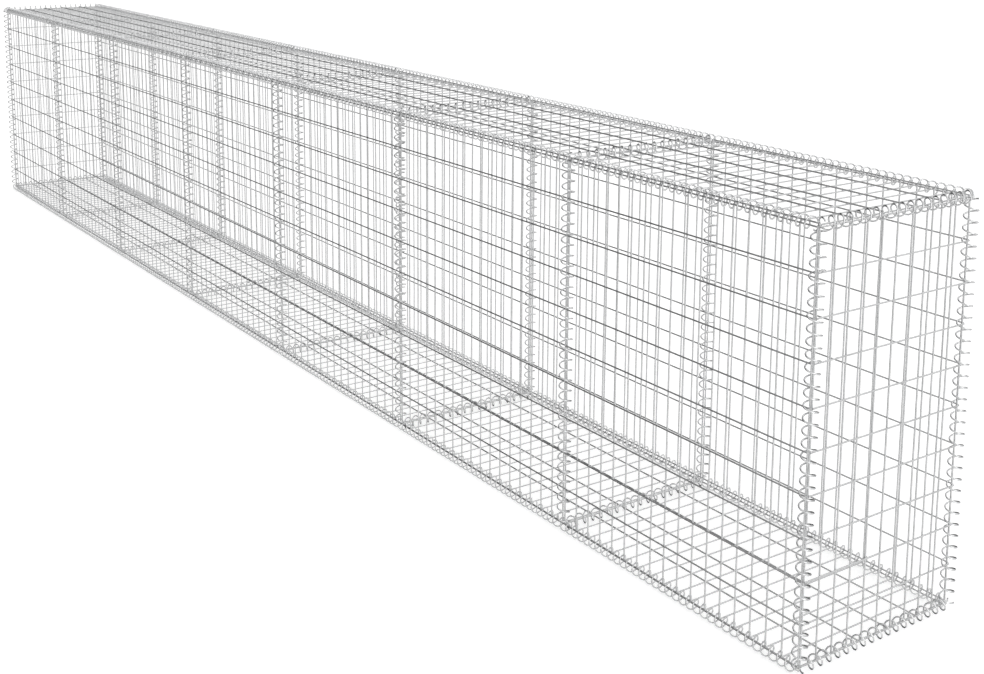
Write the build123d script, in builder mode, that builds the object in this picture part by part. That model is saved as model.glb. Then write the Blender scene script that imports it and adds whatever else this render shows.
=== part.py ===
from build123d import *
from math import atan, ceil, cos, floor, pi, sin, sqrt
import os

# An empty gabion wall: one row of bays closed with welded mesh panels, laced with wire spirals.
# X runs along the wall, Y from front to back and Z up, in millimetres.
# The origin is on the ground, under the middle of the wall.

# Panels, measured between the middles of their edge wires
bay_count = 7
panel_length = 850
panel_height = 1000
panel_depth = 500

# Mesh: the number of cells that the wires divide each side into
length_cells = 17
height_cells = 10
depth_cells = 5
end_cells = 10

# Wire diameters, drawn here as the square bars that fit inside the round wires
mesh_wire = 4.0
coil_wire = 3.0
weld_depth = 0.4

# Places where panels meet: edge wires side by side at a seam, set back from the corner elsewhere
seam_gap = 9.0
corner_gap = 5.0

# Lacing spirals. Those on the uprights are wider than those round the base and the cover. All
# are left-handed but for those round the base, which mirror those round the cover.
upright_radius = 18.5
edge_radius = 16.0
right_handed = 1
left_handed = -1
sides_per_turn = 6
turns_per_length_cell = 2
turns_per_height_cell = 3.5
turns_per_depth_cell = 3.5
lacing_clearance = 2.0
seat_gap = 0.2

# Bars, and how far the two layers of wires lie from the middle of the mesh
mesh_bar = mesh_wire / sqrt(2)
coil_bar = coil_wire / sqrt(2)
layer_offset = (mesh_bar - weld_depth) / 2

# Levels and places: the outer bends of the lowest spirals stand on the ground
bend = 2 * pi / sides_per_turn
edge_reach = edge_radius + coil_bar / sqrt(2) / cos(bend / 2)
base_level = edge_reach
upright_bottom = base_level + corner_gap
upright_middle = upright_bottom + panel_height / 2
cover_level = upright_bottom + panel_height + corner_gap
face_offset = panel_depth / 2 + corner_gap
bay_pitch = panel_length + seam_gap
wall_length = bay_count * panel_length + (bay_count - 1) * seam_gap
end_offset = wall_length / 2 + corner_gap

# Spirals stop short of the long ones that run through each corner
corner_trim = edge_reach + lacing_clearance - corner_gap

right = Vector(1, 0, 0)
rearward = Vector(0, 1, 0)
up = Vector(0, 0, 1)


def bay_middle(bay):
    """X of the middle of a bay, counted from 0 at the left."""
    return (bay - (bay_count - 1) / 2) * bay_pitch


def seam_place(seam):
    """X of the seam to the left of a bay, with the end panels as the first and last seams."""
    if seam == 0:
        return -end_offset
    if seam == bay_count:
        return end_offset
    return (seam - bay_count / 2) * bay_pitch


def welded_mesh(width, height, columns, rows):
    """A flat panel in two layers, with the row wires on top of the column wires."""
    with BuildPart() as panel:
        with BuildSketch(Plane.XY.offset(weld_depth / 2 - mesh_bar)):
            with GridLocations(width / columns, 0, columns + 1, 1):
                Rectangle(mesh_bar, height + mesh_bar)
        extrude(amount=mesh_bar)
        with BuildSketch(Plane.XY.offset(-weld_depth / 2)):
            with GridLocations(0, height / rows, 1, rows + 1):
                Rectangle(width + mesh_bar, mesh_bar)
        extrude(amount=mesh_bar)
    return panel.part


def slope(radius, pitch):
    """Rise of a spiral for each millimetre that it moves through a panel."""
    return pitch / sides_per_turn / (radius * sin(bend))


def seat_rise(radius, pitch):
    """Rise from the middle of a mesh wire to the middle of a spiral that lies beside it."""
    angle = atan(slope(radius, pitch))
    mesh_half = mesh_bar / 2 * (cos(angle) + sin(angle))
    coil_half = coil_bar / sqrt(2)
    return (mesh_half + coil_half + seat_gap) / cos(angle)


def layer_rise(radius, pitch):
    """Rise of a spiral from the middle of the mesh to either layer of wires."""
    return layer_offset * slope(radius, pitch)


def coil(hand, radius, length, pitch, first_pass, trim):
    """A spiral about Z, from trim to length - trim, that passes +X at first_pass above 0."""
    step = pitch / sides_per_turn
    first = ceil((trim - first_pass) / step)
    last = floor((length - trim - first_pass) / step)
    corners = []
    for corner in range(first, last + 1):
        angle = hand * corner * bend
        rise = first_pass + corner * step
        corners.append((radius * cos(angle), radius * sin(angle), rise))
    with BuildPart() as spiral:
        with BuildLine() as path:
            Polyline(*corners)
        with BuildSketch(Plane(origin=path.line @ 0, z_dir=path.line % 0)):
            Rectangle(coil_bar, coil_bar)
        sweep(transition=Transition.RIGHT)
    return spiral.part


def lacing_plane(hand, middle, length, first_side, second_side):
    """Plane at the start of an edge, along which a spiral of that hand turns from side to side."""
    run = first_side.cross(second_side) * hand
    return Plane(origin=middle - run * (length / 2), x_dir=first_side, z_dir=run)


def place(piece, plane):
    """A copy of a piece, moved from XY to a plane. Copies share one shape, which keeps files small."""
    return piece.moved(plane.location)


def write(piece, name):
    """Label a finished piece and write it under its name."""
    piece.label = name
    export_step(piece, f"parts/{name}.step", write_pcurves=False)


os.makedirs("parts", exist_ok=True)

# Panels, each with its row wires outside
side_panel = welded_mesh(panel_length, panel_height, length_cells, height_cells)
flat_panel = welded_mesh(panel_length, panel_depth, length_cells, depth_cells)
end_panel = welded_mesh(panel_depth, panel_height, end_cells, height_cells)

for bay in range(bay_count):
    x = bay_middle(bay)
    front = Plane(origin=(x, -face_offset, upright_middle), x_dir=right, z_dir=-rearward)
    back = Plane(origin=(x, face_offset, upright_middle), x_dir=-right, z_dir=rearward)
    base = Plane(origin=(x, 0, base_level), x_dir=right, z_dir=-up)
    cover = Plane(origin=(x, 0, cover_level), x_dir=right, z_dir=up)
    write(place(side_panel, front), f"front_panel_{bay + 1}")
    write(place(side_panel, back), f"back_panel_{bay + 1}")
    write(place(flat_panel, base), f"base_panel_{bay + 1}")
    write(place(flat_panel, cover), f"cover_panel_{bay + 1}")

left_end = Plane(origin=(-end_offset, 0, upright_middle), x_dir=-rearward, z_dir=-right)
right_end = Plane(origin=(end_offset, 0, upright_middle), x_dir=rearward, z_dir=right)
write(place(end_panel, left_end), "left_end_panel")
write(place(end_panel, right_end), "right_end_panel")

# Long spirals, one a bay on each of the four long edges, seated on the walls' column wires
long_pitch = panel_length / length_cells / turns_per_length_cell
long_pass = seat_rise(edge_radius, long_pitch) - layer_rise(edge_radius, long_pitch)
bottom_coil = coil(right_handed, edge_radius, panel_length, long_pitch, long_pass, 0)
top_coil = coil(left_handed, edge_radius, panel_length, long_pitch, long_pass, 0)

for rear, face in ((False, "front"), (True, "back")):
    inward = -rearward if rear else rearward
    for upper, edge in ((False, "bottom"), (True, "top")):
        level = cover_level if upper else base_level
        wall_side = -up if upper else up
        hand = left_handed if upper else right_handed
        long_coil = top_coil if upper else bottom_coil
        spirals = []
        for bay in range(bay_count):
            middle = Vector(bay_middle(bay), 0, level) - inward * face_offset
            plane = lacing_plane(hand, middle, panel_length, wall_side, inward)
            spirals.append(place(long_coil, plane))
        write(Compound(children=spirals), f"{face}_{edge}_spirals")

# Spirals at each seam and at both ends: front and back uprights, and one across base and cover.
# At a seam the axis lies in the layer of the row wires, outside the middle of the mesh, so that
# the spiral is seated alike on the row wires of both panels, half a turn apart.
upright_pitch = panel_height / height_cells / turns_per_height_cell
cross_pitch = panel_depth / depth_cells / turns_per_depth_cell
upright_seam_pass = seat_rise(upright_radius, upright_pitch)
cross_seam_pass = seat_rise(edge_radius, cross_pitch)

# At a corner they pass the two panels a quarter of a turn apart, as far before a wire of the
# first as after a wire of the second. Those across the ends pass the column wires of the end
# panels, which lie inside the middle of the mesh.
upright_corner_pass = -upright_pitch / 8
cross_corner_pass = layer_rise(edge_radius, cross_pitch) - cross_pitch / 8


def upright_coil(first_pass):
    """The spiral of an upright edge."""
    return coil(left_handed, upright_radius, panel_height, upright_pitch, first_pass, corner_trim)


def cross_coil(hand, first_pass):
    """A spiral across the base or the cover."""
    return coil(hand, edge_radius, panel_depth, cross_pitch, first_pass, corner_trim)


upright_seam_coil = upright_coil(upright_seam_pass)
base_seam_coil = cross_coil(right_handed, cross_seam_pass)
cover_seam_coil = cross_coil(left_handed, cross_seam_pass)
upright_corner_coil = upright_coil(upright_corner_pass)
base_corner_coil = cross_coil(right_handed, cross_corner_pass)
cover_corner_coil = cross_coil(left_handed, cross_corner_pass)

for seam in range(bay_count + 1):
    x = seam_place(seam)
    between_bays = 0 < seam < bay_count
    outward = layer_offset if between_bays else 0
    front_edge = Vector(x, -face_offset - outward, upright_middle)
    back_edge = Vector(x, face_offset + outward, upright_middle)
    base_edge = Vector(x, 0, base_level - outward)
    cover_edge = Vector(x, 0, cover_level + outward)
    if between_bays:
        wall_coil = upright_seam_coil
        base_coil = base_seam_coil
        cover_coil = cover_seam_coil
        first_side = right
        rear_side = rearward
        base_side = -up
    else:
        wall_coil = upright_corner_coil
        base_coil = base_corner_coil
        cover_coil = cover_corner_coil
        first_side = right if seam == 0 else -right
        rear_side = -rearward
        base_side = up
    front_plane = lacing_plane(left_handed, front_edge, panel_height, first_side, rearward)
    back_plane = lacing_plane(left_handed, back_edge, panel_height, first_side, rear_side)
    base_plane = lacing_plane(right_handed, base_edge, panel_depth, first_side, base_side)
    cover_plane = lacing_plane(left_handed, cover_edge, panel_depth, first_side, -up)
    spirals = [
        place(wall_coil, front_plane),
        place(wall_coil, back_plane),
        place(base_coil, base_plane),
        place(cover_coil, cover_plane),
    ]
    write(Compound(children=spirals), f"seam_spirals_{seam + 1}")
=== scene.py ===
import math

import bpy
from mathutils import Matrix, Vector


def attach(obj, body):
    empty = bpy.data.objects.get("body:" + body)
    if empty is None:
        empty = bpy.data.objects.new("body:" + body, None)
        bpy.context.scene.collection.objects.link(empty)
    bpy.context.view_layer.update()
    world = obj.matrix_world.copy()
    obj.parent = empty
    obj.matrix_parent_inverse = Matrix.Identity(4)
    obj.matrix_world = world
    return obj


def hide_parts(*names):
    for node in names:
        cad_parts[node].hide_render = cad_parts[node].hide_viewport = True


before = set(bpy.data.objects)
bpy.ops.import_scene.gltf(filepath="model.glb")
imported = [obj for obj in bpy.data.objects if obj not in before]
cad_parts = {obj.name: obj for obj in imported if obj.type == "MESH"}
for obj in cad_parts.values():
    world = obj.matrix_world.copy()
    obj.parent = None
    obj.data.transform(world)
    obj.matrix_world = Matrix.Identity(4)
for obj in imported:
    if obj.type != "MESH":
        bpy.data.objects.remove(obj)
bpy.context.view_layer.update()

mm = 0.001
white = (1, 1, 1, 1)


def addObject(name, data):
    obj = bpy.data.objects.new(name, data)
    bpy.context.scene.collection.objects.link(obj)
    return obj


# Camera, settled first
camera = {
    "eye": (4.9443, -2.4194, 1.7146),
    "heading": 144.859,     # degrees from +X, turning towards +Y
    "tilt": -9.311,         # degrees above the horizon
    "roll": 0.494,
    "lens": 50.721,
    "sensor": 36,
    "shiftX": -0.0159,
    "shiftY": -0.2235,
    "near": 0.05,
    "far": 200,
}


def makeCamera(c):
    heading, tilt, roll = (math.radians(c[k]) for k in ("heading", "tilt", "roll"))
    ahead = Vector((math.cos(tilt) * math.cos(heading),
                    math.cos(tilt) * math.sin(heading),
                    math.sin(tilt)))
    level = ahead.cross(Vector((0, 0, 1))).normalized()
    lifted = level.cross(ahead)
    sideways = level * math.cos(roll) + lifted * math.sin(roll)
    upward = lifted * math.cos(roll) - level * math.sin(roll)
    data = bpy.data.cameras.new("wallCamera")
    data.sensor_width = c["sensor"]
    data.lens = c["lens"]
    data.shift_x = c["shiftX"]
    data.shift_y = c["shiftY"]
    data.clip_start = c["near"]
    data.clip_end = c["far"]
    obj = addObject("wallCamera", data)
    turn = Matrix((sideways, upward, -ahead)).transposed().to_4x4()
    obj.matrix_world = Matrix.Translation(c["eye"]) @ turn
    bpy.context.scene.camera = obj


makeCamera(camera)
bpy.context.scene.view_settings.view_transform = "Standard"
print("camera set")


# Helpers for node trees: every value is either a socket to link or a plain number
def feed(tree, socket, value):
    if isinstance(value, bpy.types.NodeSocket):
        tree.links.new(value, socket)
    elif value is not None:
        socket.default_value = value


def addNode(tree, kind, inputs=None, **settings):
    node = tree.nodes.new(kind)
    for key, value in settings.items():
        setattr(node, key, value)
    for key, value in (inputs or {}).items():
        feed(tree, node.inputs[key], value)
    return node


def calc(tree, operation, a, b=None, c=None):
    node = addNode(tree, "ShaderNodeMath", operation=operation)
    for socket, value in zip(node.inputs, (a, b, c)):
        feed(tree, socket, value)
    return node.outputs[0]


def vectorCalc(tree, operation, a, b):
    return addNode(tree, "ShaderNodeVectorMath", {0: a, 1: b}, operation=operation).outputs[0]


def vector(tree, x, y, z):
    return addNode(tree, "ShaderNodeCombineXYZ", {0: x, 1: y, 2: z}).outputs[0]


def ramp(tree, value, start, end, low=0.0, high=1.0, shape="LINEAR"):
    return addNode(tree, "ShaderNodeMapRange", {
        "Value": value, "From Min": start, "From Max": end, "To Min": low, "To Max": high},
        clamp=True, interpolation_type=shape).outputs[0]


def newTree(name, kind, inputs, outputs):
    tree = bpy.data.node_groups.new(name, kind)
    for label, socketType, value in inputs:
        socket = tree.interface.new_socket(name=label, in_out="INPUT", socket_type=socketType)
        if value is not None:
            socket.default_value = value
    for label, socketType in outputs:
        tree.interface.new_socket(name=label, in_out="OUTPUT", socket_type=socketType)
    given = tree.nodes.new("NodeGroupInput").outputs
    result = tree.nodes.new("NodeGroupOutput").inputs
    return tree, given, result


def emptyTree(owner):
    owner.use_nodes = True
    owner.node_tree.nodes.clear()
    return owner.node_tree


# Galvanised skin, shared by both kinds of wire
zinc = {
    "crystalSpread": 0.9,
    "patchScale": 9.0, "patchDetail": 3.0, "patchRoughness": 0.6,
    "patchFrom": 0.35, "patchTo": 0.68,
    "grainScale": 900.0, "grainDetail": 2.0, "grainRoughness": 0.55,
    "tintShare": 0.55,      # how far a crystal strays from its patch
    "dullRoughness": 0.8, "grainOnRoughness": 0.3,
    "grainHeight": 0.7, "crystalHeight": 0.3,
}


def zincSkinGroup(z):
    tree, given, result = newTree(
        "zincSkin", "ShaderNodeTree",
        [("Fresh", "NodeSocketColor", (0.5, 0.5, 0.5, 1)),
         ("Dull", "NodeSocketColor", (0.4, 0.4, 0.4, 1)),
         ("Spangle Size", "NodeSocketFloat", 0.008),
         ("Dullness", "NodeSocketFloat", 0.5),
         ("Smooth", "NodeSocketFloat", 0.3),
         ("Rough", "NodeSocketFloat", 0.5)],
        [("Color", "NodeSocketColor"),
         ("Roughness", "NodeSocketFloat"),
         ("Height", "NodeSocketFloat")])
    place = addNode(tree, "ShaderNodeTexCoord").outputs["Object"]
    perMetre = calc(tree, "DIVIDE", 1.0, given["Spangle Size"])
    # crystals of the zinc, each a little lighter or darker
    spangle = addNode(tree, "ShaderNodeTexVoronoi", {
        "Vector": place, "Scale": perMetre, "Randomness": z["crystalSpread"]},
        voronoi_dimensions="3D", feature="F1")
    tint = addNode(tree, "ShaderNodeSeparateColor", {"Color": spangle.outputs["Color"]}).outputs[0]
    # broad dull patches where the coat has weathered
    patch = addNode(tree, "ShaderNodeTexNoise", {
        "Vector": place, "Scale": z["patchScale"], "Detail": z["patchDetail"],
        "Roughness": z["patchRoughness"]}).outputs["Fac"]
    patchMask = ramp(tree, patch, z["patchFrom"], z["patchTo"])
    # fine drawn and dipped texture
    grain = addNode(tree, "ShaderNodeTexNoise", {
        "Vector": place, "Scale": z["grainScale"], "Detail": z["grainDetail"],
        "Roughness": z["grainRoughness"]}).outputs["Fac"]
    weight = calc(tree, "MULTIPLY", patchMask, given["Dullness"])
    stray = calc(tree, "MULTIPLY", calc(tree, "SUBTRACT", tint, 0.5), z["tintShare"])
    weight = calc(tree, "ADD", weight, stray)
    weight = addNode(tree, "ShaderNodeClamp", {"Value": weight}).outputs[0]
    blend = addNode(tree, "ShaderNodeMix", data_type="RGBA", blend_type="MIX")
    feed(tree, blend.inputs["Factor"], weight)
    feed(tree, blend.inputs[6], given["Fresh"])
    feed(tree, blend.inputs[7], given["Dull"])
    tree.links.new(blend.outputs[2], result["Color"])
    wear = calc(tree, "ADD", calc(tree, "MULTIPLY", weight, z["dullRoughness"]),
                calc(tree, "MULTIPLY", grain, z["grainOnRoughness"]))
    tree.links.new(ramp(tree, wear, 0.0, 1.0, given["Smooth"], given["Rough"]), result["Roughness"])
    height = calc(tree, "ADD", calc(tree, "MULTIPLY", grain, z["grainHeight"]),
                  calc(tree, "MULTIPLY", tint, z["crystalHeight"]))
    tree.links.new(height, result["Height"])
    return tree


def wireMaterial(name, skin, look):
    mat = bpy.data.materials.new(name)
    tree = emptyTree(mat)
    coat = addNode(tree, "ShaderNodeGroup", node_tree=skin)
    for key in ("Fresh", "Dull", "Spangle Size", "Dullness", "Smooth", "Rough"):
        coat.inputs[key].default_value = look[key]
    bump = addNode(tree, "ShaderNodeBump", {
        "Height": coat.outputs["Height"], "Strength": look["bumpStrength"],
        "Distance": look["bumpDepth"]})
    shader = addNode(tree, "ShaderNodeBsdfPrincipled", {
        "Base Color": coat.outputs["Color"], "Roughness": coat.outputs["Roughness"],
        "Metallic": look["metallic"], "Normal": bump.outputs["Normal"]})
    out = addNode(tree, "ShaderNodeOutputMaterial")
    tree.links.new(shader.outputs[0], out.inputs["Surface"])
    mat.diffuse_color = look["Fresh"]
    return mat


meshLook = {
    "Fresh": (0.72, 0.724, 0.73, 1), "Dull": (0.56, 0.564, 0.568, 1),
    "Spangle Size": 0.007, "Dullness": 0.55, "Smooth": 0.18, "Rough": 0.36,
    "metallic": 0.9, "bumpStrength": 0.35, "bumpDepth": 0.0002,
}
spiralLook = {
    "Fresh": (0.74, 0.744, 0.75, 1), "Dull": (0.57, 0.574, 0.578, 1),
    "Spangle Size": 0.005, "Dullness": 0.4, "Smooth": 0.12, "Rough": 0.28,
    "metallic": 1.0, "bumpStrength": 0.25, "bumpDepth": 0.00015,
}
zincSkin = zincSkinGroup(zinc)
meshZinc = wireMaterial("meshZinc", zincSkin, meshLook)
spiralZinc = wireMaterial("spiralZinc", zincSkin, spiralLook)
print("materials made")

# Sizes of the wall, the same ones as the solids are made from
wall = {
    "bays": 7, "panelLength": 0.850, "panelHeight": 1.000, "panelDepth": 0.500,
    "seamGap": 0.009, "cornerGap": 0.005, "baseLevel": 0.01773,
    "columnsAlong": 17, "columnsDeep": 10, "rowsUp": 10, "rowsDeep": 5,     # cells of the mesh
}
length, height, depth = wall["panelLength"], wall["panelHeight"], wall["panelDepth"]
wall["uprightBottom"] = wall["baseLevel"] + wall["cornerGap"]
wall["uprightMiddle"] = wall["uprightBottom"] + height / 2
wall["coverLevel"] = wall["uprightBottom"] + height + wall["cornerGap"]
wall["face"] = depth / 2 + wall["cornerGap"]
wall["bayPitch"] = length + wall["seamGap"]
wall["end"] = (wall["bays"] * wall["bayPitch"] - wall["seamGap"]) / 2 + wall["cornerGap"]

right, rearward, up = Vector((1, 0, 0)), Vector((0, 1, 0)), Vector((0, 0, 1))


def bayMiddle(bay):
    return (bay - (wall["bays"] - 1) / 2) * wall["bayPitch"]


def stand(origin, xDir, zDir):
    yDir = zDir.cross(xDir)
    return Matrix.Translation(origin) @ Matrix((xDir, yDir, zDir)).transposed().to_4x4()


# Steps that both kinds of wirework share
def joined(tree, *parts):
    node = tree.nodes.new("GeometryNodeJoinGeometry")
    for part in parts:
        tree.links.new(part, node.inputs[0])
    return node.outputs[0]


def tubeAlong(tree, curve, sides, radius):
    profile = addNode(tree, "GeometryNodeCurvePrimitiveCircle", {
        "Resolution": sides, "Radius": radius}, mode="RADIUS").outputs[0]
    return addNode(tree, "GeometryNodeCurveToMesh", {
        "Curve": curve, "Profile Curve": profile, "Fill Caps": True}).outputs[0]


def plainMesh(tree, geometry, material):
    solid = addNode(tree, "GeometryNodeRealizeInstances", {"Geometry": geometry}).outputs[0]
    solid = addNode(tree, "GeometryNodeSetShadeSmooth", {"Geometry": solid}).outputs[0]
    return addNode(tree, "GeometryNodeSetMaterial", {
        "Geometry": solid, "Material": material}).outputs[0]


# Welded panels: column wires inside, row wires outside, a small weld bead at each crossing
panel = {
    "Wire": 4.0 * mm, "Layer": 1.8 * mm, "Sides": 8, "Step": 0.1,
    "Bow": 0.9 * mm, "Bow Scale": 2.3, "Bead": 2.3 * mm, "Bead Flatness": 0.55,
}
bowInPlane, bowOutward = 0.6, 3.0       # shares of the bow in each direction
beadTurn = 6.283
panelSeedStep = 7.3


def weldedPanelTree():
    tree, given, result = newTree(
        "weldedPanel", "GeometryNodeTree",
        [("Geometry", "NodeSocketGeometry", None),
         ("Width", "NodeSocketFloat", 1.0), ("Height", "NodeSocketFloat", 1.0),
         ("Columns", "NodeSocketInt", 10), ("Rows", "NodeSocketInt", 10),
         ("Wire", "NodeSocketFloat", 0.004), ("Layer", "NodeSocketFloat", 0.0018),
         ("Sides", "NodeSocketInt", 8), ("Step", "NodeSocketFloat", 0.1),
         ("Bow", "NodeSocketFloat", 0.0), ("Bow Scale", "NodeSocketFloat", 2.0),
         ("Bead", "NodeSocketFloat", 0.002), ("Bead Flatness", "NodeSocketFloat", 0.5),
         ("Seed", "NodeSocketFloat", 0.0), ("Material", "NodeSocketMaterial", None)],
        [("Geometry", "NodeSocketGeometry")])
    halfWire = calc(tree, "DIVIDE", given["Wire"], 2.0)

    def wires(count, span, reach, across, level):
        # one straight wire, repeated evenly over the span
        gap = calc(tree, "DIVIDE", span, calc(tree, "SUBTRACT", count, 1.0))
        start = calc(tree, "DIVIDE", span, -2.0)
        end = calc(tree, "ADD", calc(tree, "DIVIDE", reach, 2.0), halfWire)
        back = calc(tree, "MULTIPLY", end, -1.0)
        if across:
            first, step = vector(tree, start, 0.0, level), vector(tree, gap, 0.0, 0.0)
            a, b = vector(tree, 0.0, back, 0.0), vector(tree, 0.0, end, 0.0)
        else:
            first, step = vector(tree, 0.0, start, level), vector(tree, 0.0, gap, 0.0)
            a, b = vector(tree, back, 0.0, 0.0), vector(tree, end, 0.0, 0.0)
        points = addNode(tree, "GeometryNodeMeshLine", {
            "Count": count, "Start Location": first, "Offset": step}, mode="OFFSET").outputs[0]
        line = addNode(tree, "GeometryNodeCurvePrimitiveLine", {
            "Start": a, "End": b}, mode="POINTS").outputs[0]
        return addNode(tree, "GeometryNodeInstanceOnPoints", {
            "Points": points, "Instance": line}).outputs[0]

    columnCount = calc(tree, "ADD", given["Columns"], 1.0)
    rowCount = calc(tree, "ADD", given["Rows"], 1.0)
    inside = calc(tree, "MULTIPLY", given["Layer"], -1.0)
    columns = wires(columnCount, given["Width"], given["Height"], True, inside)
    rows = wires(rowCount, given["Height"], given["Width"], False, given["Layer"])
    lines = addNode(tree, "GeometryNodeRealizeInstances", {
        "Geometry": joined(tree, columns, rows)}).outputs[0]
    lines = addNode(tree, "GeometryNodeResampleCurve", {
        "Curve": lines, "Length": given["Step"]}, mode="LENGTH").outputs[0]

    # the whole mesh is slightly bowed, columns, rows and beads alike
    here = addNode(tree, "GeometryNodeInputPosition").outputs[0]
    flat = vectorCalc(tree, "MULTIPLY", here, (1.0, 1.0, 0.0))
    noise = addNode(tree, "ShaderNodeTexNoise", {
        "Vector": flat, "W": given["Seed"], "Scale": given["Bow Scale"], "Detail": 1.0},
        noise_dimensions="4D").outputs["Color"]
    centred = vectorCalc(tree, "SUBTRACT", noise, (0.5, 0.5, 0.5))
    inPlane = calc(tree, "MULTIPLY", given["Bow"], bowInPlane)
    outward = calc(tree, "MULTIPLY", given["Bow"], bowOutward)
    bow = vectorCalc(tree, "MULTIPLY", centred, vector(tree, inPlane, inPlane, outward))
    lines = addNode(tree, "GeometryNodeSetPosition", {"Geometry": lines, "Offset": bow}).outputs[0]
    tubes = tubeAlong(tree, lines, given["Sides"], halfWire)

    # weld beads between the two layers
    crossings = addNode(tree, "GeometryNodeMeshGrid", {
        "Size X": given["Width"], "Size Y": given["Height"],
        "Vertices X": columnCount, "Vertices Y": rowCount}).outputs[0]
    crossings = addNode(tree, "GeometryNodeSetPosition", {
        "Geometry": crossings, "Offset": bow}).outputs[0]
    bead = addNode(tree, "GeometryNodeMeshIcoSphere", {
        "Radius": given["Bead"], "Subdivisions": 1}).outputs[0]
    turned = addNode(tree, "FunctionNodeRandomValue", {
        0: (0.0, 0.0, 0.0), 1: (0.0, 0.0, beadTurn)}, data_type="FLOAT_VECTOR").outputs[0]
    beads = addNode(tree, "GeometryNodeInstanceOnPoints", {
        "Points": crossings, "Instance": bead, "Rotation": turned,
        "Scale": vector(tree, 1.0, 1.0, given["Bead Flatness"])}).outputs[0]
    solid = plainMesh(tree, joined(tree, tubes, beads), given["Material"])
    tree.links.new(solid, result["Geometry"])
    return tree


# Lacing spirals: a helix about Z, Hand 1 or -1, that passes +X at First Pass
spiral = {"Wire": 4.0 * mm, "Sides": 8, "Turn Steps": 16, "Unevenness": 0.006}
uprightRadius = 16.6 * mm
edgeRadius = 14.6 * mm
longPitch = 0.025           # two turns to a column of the mesh
uprightPitch = 0.1 / 3.5    # three and a half turns to a row
leftHanded, rightHanded = -1.0, 1.0
unevenPerMetre = 14.0
spiralSeedStep = 3.7


def lacingSpiralTree():
    tree, given, result = newTree(
        "lacingSpiral", "GeometryNodeTree",
        [("Geometry", "NodeSocketGeometry", None),
         ("Length", "NodeSocketFloat", 1.0),
         ("Pitch", "NodeSocketFloat", 0.025), ("First Pass", "NodeSocketFloat", 0.0),
         ("Hand", "NodeSocketFloat", 1.0),
         ("Radius", "NodeSocketFloat", 0.0165), ("Wire", "NodeSocketFloat", 0.004),
         ("Sides", "NodeSocketInt", 8), ("Turn Steps", "NodeSocketInt", 16),
         ("Unevenness", "NodeSocketFloat", 0.0), ("Seed", "NodeSocketFloat", 0.0),
         ("Material", "NodeSocketMaterial", None)],
        [("Geometry", "NodeSocketGeometry")])
    axis = addNode(tree, "GeometryNodeCurvePrimitiveLine", {
        "Start": (0.0, 0.0, 0.0), "End": vector(tree, 0.0, 0.0, given["Length"])},
        mode="POINTS").outputs[0]
    stretch = calc(tree, "DIVIDE", given["Pitch"], given["Turn Steps"])
    axis = addNode(tree, "GeometryNodeResampleCurve", {
        "Curve": axis, "Length": stretch}, mode="LENGTH").outputs[0]
    here = addNode(tree, "GeometryNodeInputPosition").outputs[0]
    rise = addNode(tree, "ShaderNodeSeparateXYZ", {0: here}).outputs[2]
    turns = calc(tree, "DIVIDE", calc(tree, "SUBTRACT", rise, given["First Pass"]), given["Pitch"])
    angle = calc(tree, "MULTIPLY", calc(tree, "MULTIPLY", turns, 2 * math.pi), given["Hand"])
    along = calc(tree, "ADD", calc(tree, "MULTIPLY", rise, unevenPerMetre), given["Seed"])
    noise = addNode(tree, "ShaderNodeTexNoise", {
        "W": along, "Scale": 1.0, "Detail": 1.0}, noise_dimensions="1D").outputs["Fac"]
    swell = calc(tree, "MULTIPLY", calc(tree, "SUBTRACT", noise, 0.5), given["Unevenness"])
    radius = calc(tree, "MULTIPLY", given["Radius"], calc(tree, "ADD", 1.0, swell))
    bent = vector(tree, calc(tree, "MULTIPLY", radius, calc(tree, "COSINE", angle)),
                  calc(tree, "MULTIPLY", radius, calc(tree, "SINE", angle)), rise)
    helix = addNode(tree, "GeometryNodeSetPosition", {
        "Geometry": axis, "Position": bent}).outputs[0]
    tube = tubeAlong(tree, helix, given["Sides"], calc(tree, "DIVIDE", given["Wire"], 2.0))
    tree.links.new(plainMesh(tree, tube, given["Material"]), result["Geometry"])
    return tree


def grow(tree, values, placement):
    # one plain mesh from a tree and its values, put in place in the mesh itself
    carrier = addObject("carrier", bpy.data.meshes.new("carrier"))
    modifier = carrier.modifiers.new("grow", "NODES")
    modifier.node_group = tree
    sockets = {s.name: s.identifier for s in tree.interface.items_tree if s.in_out == "INPUT"}
    for label, value in values.items():
        modifier[sockets[label]] = value
    settled = carrier.evaluated_get(bpy.context.evaluated_depsgraph_get())
    mesh = bpy.data.meshes.new_from_object(settled)
    bpy.data.objects.remove(carrier)
    mesh.transform(placement)
    return mesh


def asPiece(name, meshes, node):
    # several meshes of one node become one piece
    parts = [addObject(name, mesh) for mesh in meshes]
    piece = parts[0]
    if len(parts) > 1:
        with bpy.context.temp_override(active_object=piece, selected_editable_objects=parts):
            bpy.ops.object.join()
    piece.name = name
    piece.data.name = name
    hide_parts(node)
    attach(piece, "root")


panelTree = weldedPanelTree()
spiralTree = lacingSpiralTree()
print("node trees made")


def makePanel(node, width, tall, columns, rows, placement, seed):
    values = dict(panel, Width=width, Height=tall, Columns=columns, Rows=rows,
                  Seed=seed * panelSeedStep, Material=meshZinc)
    asPiece(node + "_wires", [grow(panelTree, values, placement)], node)


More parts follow.
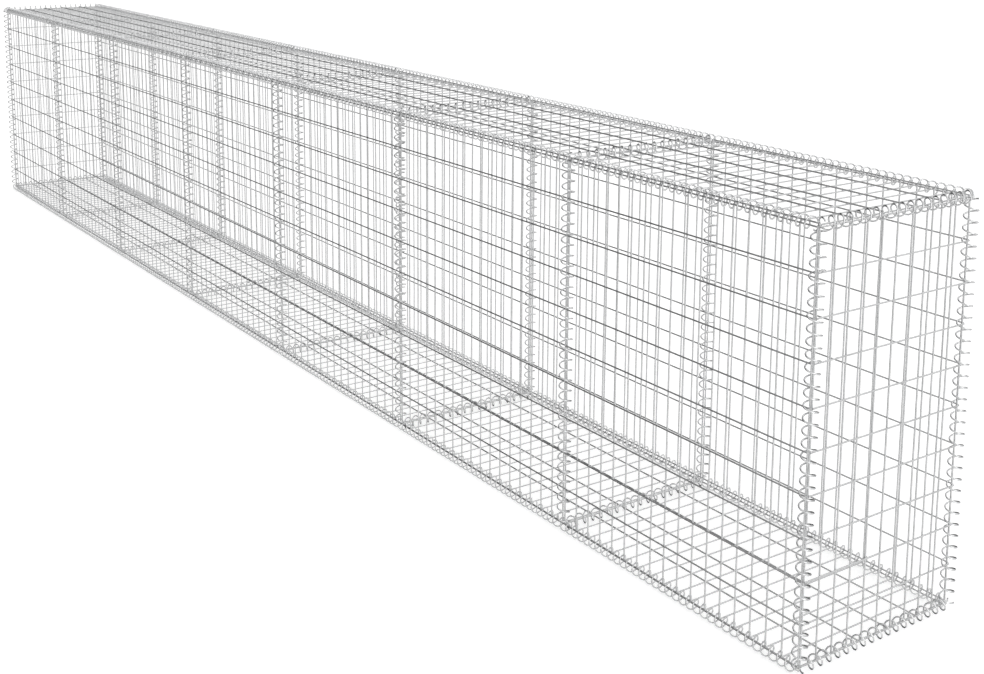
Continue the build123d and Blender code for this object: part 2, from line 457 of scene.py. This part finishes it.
seed = 0
for bay in range(wall["bays"]):
    x = bayMiddle(bay)
    front = stand((x, -wall["face"], wall["uprightMiddle"]), right, -rearward)
    back = stand((x, wall["face"], wall["uprightMiddle"]), -right, rearward)
    base = stand((x, 0, wall["baseLevel"]), right, -up)
    cover = stand((x, 0, wall["coverLevel"]), right, up)
    for side, tall, rows, placement in (
            ("front", height, wall["rowsUp"], front), ("back", height, wall["rowsUp"], back),
            ("base", depth, wall["rowsDeep"], base), ("cover", depth, wall["rowsDeep"], cover)):
        seed += 1
        makePanel(f"{side}_panel_{bay + 1}", length, tall, wall["columnsAlong"], rows,
                  placement, seed)
for side, facing in (("left", -1), ("right", 1)):
    seed += 1
    placement = stand((facing * wall["end"], 0, wall["uprightMiddle"]),
                      facing * rearward, facing * right)
    makePanel(f"{side}_end_panel", depth, height, wall["columnsDeep"], wall["rowsUp"],
              placement, seed)
print("panels made")


def lace(hand, radius, pitch, firstPass, middle, span, firstSide, secondSide, seed):
    run = firstSide.cross(secondSide) * hand
    placement = stand(middle - run * (span / 2), firstSide, run)
    values = dict(spiral, Hand=hand, Radius=radius, Length=span, Pitch=pitch,
                  Seed=seed * spiralSeedStep, Material=spiralZinc)
    values["First Pass"] = firstPass
    return grow(spiralTree, values, placement)


# Where a spiral passes the first panel, measured from that panel's first cross wire. At the ends,
# odd eighths of a pitch keep it as clear of the second panel's wires as of the first's.
longPass = 3.7 * mm
seamPasses = {"front": -7.0 * mm, "back": 8.6 * mm, "base": 4.7 * mm, "cover": 19.0 * mm}
innerRise = 0.56 * mm       # a little later, where the wires that are passed lie inside
endPasses = {
    "front": uprightPitch * 3 / 8, "back": uprightPitch * 3 / 8,
    "base": innerRise + uprightPitch * 3 / 8, "cover": innerRise - uprightPitch * 5 / 8,
}
endBaseLift = 4.5 * mm      # the base's spirals lie higher at the ends

count = 0
for face, side in (("front", -1), ("back", 1)):
    inward = -side * rearward
    for edge, upper in (("bottom", False), ("top", True)):
        level = wall["coverLevel"] if upper else wall["baseLevel"]
        wallSide = -up if upper else up
        hand = leftHanded if upper else rightHanded
        runs = []
        for bay in range(wall["bays"]):
            middle = Vector((bayMiddle(bay), side * wall["face"], level))
            count += 1
            runs.append(lace(hand, edgeRadius, longPitch, longPass, middle, length,
                             wallSide, inward, count))
        asPiece(f"{face}_{edge}_spirals_wire", runs, f"{face}_{edge}_spirals")
print("long spirals made")

for seam in range(wall["bays"] + 1):
    if 0 < seam < wall["bays"]:
        x = (seam - wall["bays"] / 2) * wall["bayPitch"]
        passes, lift = seamPasses, 0.0
        first, rearSide, baseSide = right, rearward, -up
    else:
        x = -wall["end"] if seam == 0 else wall["end"]
        passes, lift = endPasses, endBaseLift
        first, rearSide, baseSide = right if seam == 0 else -right, -rearward, up
    frontEdge = Vector((x, -wall["face"], wall["uprightMiddle"]))
    backEdge = Vector((x, wall["face"], wall["uprightMiddle"]))
    baseEdge = Vector((x, 0, wall["baseLevel"] + lift))
    coverEdge = Vector((x, 0, wall["coverLevel"]))
    edges = [
        (leftHanded, uprightRadius, passes["front"], frontEdge, height, rearward),
        (leftHanded, uprightRadius, passes["back"], backEdge, height, rearSide),
        (rightHanded, edgeRadius, passes["base"], baseEdge, depth, baseSide),
        (leftHanded, edgeRadius, passes["cover"], coverEdge, depth, -up),
    ]
    runs = []
    for hand, radius, firstPass, middle, span, secondSide in edges:
        count += 1
        runs.append(lace(hand, radius, uprightPitch, firstPass, middle, span,
                         first, secondSide, count))
    asPiece(f"seam_spirals_{seam + 1}_wire", runs, f"seam_spirals_{seam + 1}")
print("seam spirals made")

# Floor, light and background
studio = {
    "floorSize": 80.0, "floorLevel": 0.0, "floorGray": 0.8, "floorGlow": 0.53,
    "roomLight": 0.65, "bandGray": 0.56, "bandLevel": 0.1, "bandCore": 0.1, "bandReach": 0.45,
    "flagToward": (-1.0, 0.0, -0.05), "flagGray": 0.02, "flagFrom": 0.45, "flagTo": 0.68,
    "keyFrom": (1.0, -0.15, 0.32), "keyStrength": 0.8, "keySoftness": 50.0,
    "fillFrom": (0.2, 1.0, 0.8), "fillStrength": 0.15, "fillSoftness": 50.0,
}


def seenDirectly(tree):
    # 1 for the camera and for what mirrors or glass show, else 0
    path = addNode(tree, "ShaderNodeLightPath")
    seen = calc(tree, "MAXIMUM", path.outputs["Is Camera Ray"], path.outputs["Is Glossy Ray"])
    return calc(tree, "MAXIMUM", seen, path.outputs["Is Transmission Ray"])


def makeWorld(s):
    # plain soft light; mirrors see a white room with a grayer band at eye level
    # and a dark flag at its far side
    world = bpy.data.worlds.new("studio")
    bpy.context.scene.world = world
    tree = emptyTree(world)
    toward = addNode(tree, "ShaderNodeTexCoord").outputs["Generated"]
    rise = addNode(tree, "ShaderNodeSeparateXYZ", {0: toward}).outputs[2]
    fromBand = calc(tree, "ABSOLUTE", calc(tree, "SUBTRACT", rise, s["bandLevel"]))
    band = ramp(tree, fromBand, s["bandCore"], s["bandReach"], s["bandGray"], 1.0, "SMOOTHSTEP")
    flagMiddle = Vector(s["flagToward"]).normalized()
    facing = addNode(tree, "ShaderNodeVectorMath", {
        0: toward, 1: flagMiddle}, operation="DOT_PRODUCT").outputs["Value"]
    flag = ramp(tree, facing, s["flagFrom"], s["flagTo"], 1.0, s["flagGray"], "SMOOTHSTEP")
    mirrored = calc(tree, "MULTIPLY", band, flag)
    direct = addNode(tree, "ShaderNodeLightPath").outputs["Is Camera Ray"]
    shade = addNode(tree, "ShaderNodeMix", {0: direct, 2: mirrored, 3: 1.0}).outputs[0]
    room = addNode(tree, "ShaderNodeBackground", {"Color": white, "Strength": s["roomLight"]})
    shown = addNode(tree, "ShaderNodeBackground", {"Color": white, "Strength": shade})
    mix = addNode(tree, "ShaderNodeMixShader", {0: seenDirectly(tree)})
    tree.links.new(room.outputs[0], mix.inputs[1])
    tree.links.new(shown.outputs[0], mix.inputs[2])
    out = addNode(tree, "ShaderNodeOutputWorld")
    tree.links.new(mix.outputs[0], out.inputs["Surface"])


def makeFloor(s):
    half = s["floorSize"] / 2
    corners = [(x * half, y * half, s["floorLevel"])
               for x, y in ((-1, -1), (1, -1), (1, 1), (-1, 1))]
    mesh = bpy.data.meshes.new("floor")
    mesh.from_pydata(corners, [], [(0, 1, 2, 3)])
    floor = addObject("floor", mesh)
    mat = bpy.data.materials.new("paleFloor")
    tree = emptyTree(mat)
    gray = s["floorGray"]
    # matte floor that keeps the shadow, with a glow that only the camera sees
    matte = addNode(tree, "ShaderNodeBsdfDiffuse", {"Color": (gray, gray, gray, 1)})
    glow = addNode(tree, "ShaderNodeEmission", {
        "Color": white, "Strength": calc(tree, "MULTIPLY", seenDirectly(tree), s["floorGlow"])})
    both = addNode(tree, "ShaderNodeAddShader")
    tree.links.new(matte.outputs[0], both.inputs[0])
    tree.links.new(glow.outputs[0], both.inputs[1])
    out = addNode(tree, "ShaderNodeOutputMaterial")
    tree.links.new(both.outputs[0], out.inputs["Surface"])
    mesh.materials.append(mat)
    floor.visible_glossy = False        # mirrors see the studio's own white below as well


def makeLamp(name, origin, strength, softness):
    # a broad soft light from one side, the same all along the wall
    data = bpy.data.lights.new(name, "SUN")
    data.energy = strength
    data.angle = math.radians(softness)
    lamp = addObject(name, data)
    lamp.matrix_world = Vector(origin).to_track_quat("Z", "Y").to_matrix().to_4x4()


makeWorld(studio)
makeFloor(studio)
makeLamp("keyLamp", studio["keyFrom"], studio["keyStrength"], studio["keySoftness"])
makeLamp("fillLamp", studio["fillFrom"], studio["fillStrength"], studio["fillSoftness"])
print("studio made")
